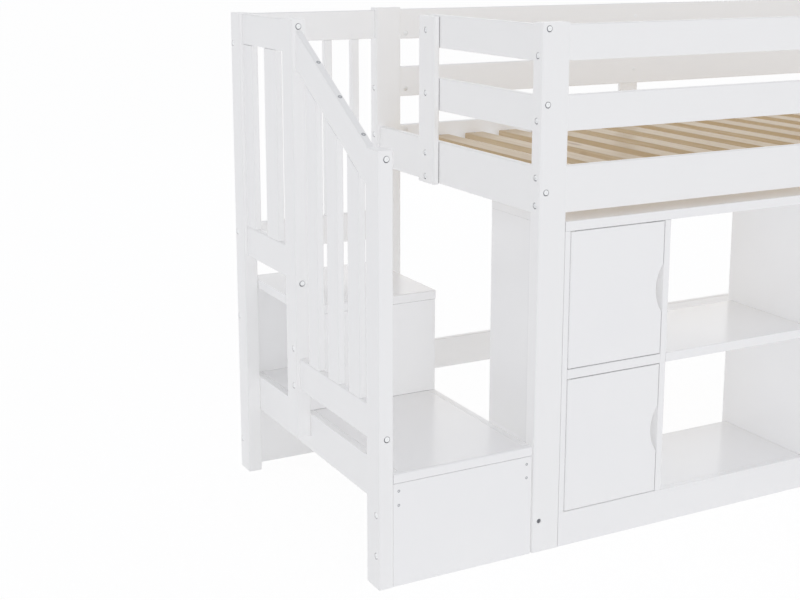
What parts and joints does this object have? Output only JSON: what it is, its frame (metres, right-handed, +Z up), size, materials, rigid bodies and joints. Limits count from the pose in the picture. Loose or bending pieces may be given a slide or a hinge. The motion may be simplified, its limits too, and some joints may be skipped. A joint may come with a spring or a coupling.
{
  "type": "loft bed with storage stairs",
  "caption": "White wooden loft bed with slats and guard rails, box steps with a slanted banister at one end, and a cupboard with doors and open shelves underneath.",
  "frame": {"origin": "on the floor under the middle of the whole bed, stairs included", "axes": "+X along the bed, away from the stairs; +Y from the cupboard's front to the back; +Z up"},
  "size_m": [2.722, 1.06, 1.567],
  "materials": {
    "white_pine": "white semi-gloss paint on solid pine",
    "white_panel": "white semi-gloss paint on fibreboard",
    "bare_pine": "planed pine, unpainted",
    "pivot_steel": "zinc plated steel",
    "bush_nylon": "moulded white nylon",
    "catch_plastic": "moulded pale grey plastic with a magnet inside"
  },
  "bodies": {
    "bed": {"bed_post_front_left": "white_pine", "bed_post_back_left": "white_pine", "bed_post_front_right": "white_pine", "bed_post_back_right": "white_pine", "side_rail_front": "white_pine", "side_rail_back": "white_pine", "end_rail_left": "white_pine", "end_rail_right": "white_pine", "front_guard_middle": "white_pine", "front_guard_top": "white_pine", "back_guard_middle": "white_pine", "back_guard_top": "white_pine", "left_guard_middle": "white_pine", "left_guard_top": "white_pine", "right_guard_middle": "white_pine", "right_guard_top": "white_pine", "entry_guard_post": "white_pine", "back_batten": "white_pine", "low_back_stretcher": "white_pine", "slat_deck": "bare_pine", "cabinet_left_panel": "white_panel", "cabinet_right_panel": "white_panel", "cabinet_divider": "white_panel", "cabinet_top_board": "white_panel", "cabinet_bottom_board": "white_panel", "door_bay_shelf": "white_panel", "open_bay_shelf": "white_panel", "cabinet_plinth": "white_panel", "pivot_pin_bottom": "pivot_steel", "pivot_pin_middle": "pivot_steel", "pivot_pin_top": "pivot_steel", "upper_magnetic_catch": "catch_plastic", "lower_magnetic_catch": "catch_plastic", "stair_post_front": "white_pine", "stair_post_middle": "white_pine", "stair_post_back": "white_pine", "slanted_handrail": "white_pine", "stair_front_guard_rail": "white_pine", "stair_rear_low_rail": "white_pine", "stair_rear_top_rail": "white_pine", "front_baluster_1": "white_pine", "front_baluster_2": "white_pine", "front_baluster_3": "white_pine", "rear_baluster_1": "white_pine", "rear_baluster_2": "white_pine", "stair_side_board_left": "white_pine", "stair_side_board_right": "white_pine", "lower_tread": "white_panel", "lower_riser": "white_panel", "upper_tread": "white_panel", "upper_riser": "white_panel", "step_box_right_panel": "white_panel", "stair_back_panel": "white_panel", "stair_back_guard": "white_pine"},
    "lower_door": {"lower_door": "white_panel", "lower_door_bottom_bush": "bush_nylon", "lower_door_top_bush": "bush_nylon"},
    "upper_door": {"upper_door": "white_panel", "upper_door_bottom_bush": "bush_nylon", "upper_door_top_bush": "bush_nylon"}
  },
  "joints": [
    {"name": "lower_door_pivot", "type": "hinge", "parent": "bed", "child": "lower_door", "pos_m": [-0.7277, -0.521, 0.317], "axis": [0, 0, -1], "range_deg": [0, 100]},
    {"name": "upper_door_pivot", "type": "hinge", "parent": "bed", "child": "upper_door", "pos_m": [-0.7277, -0.521, 0.763], "axis": [0, 0, -1], "range_deg": [0, 100]}
  ]
}
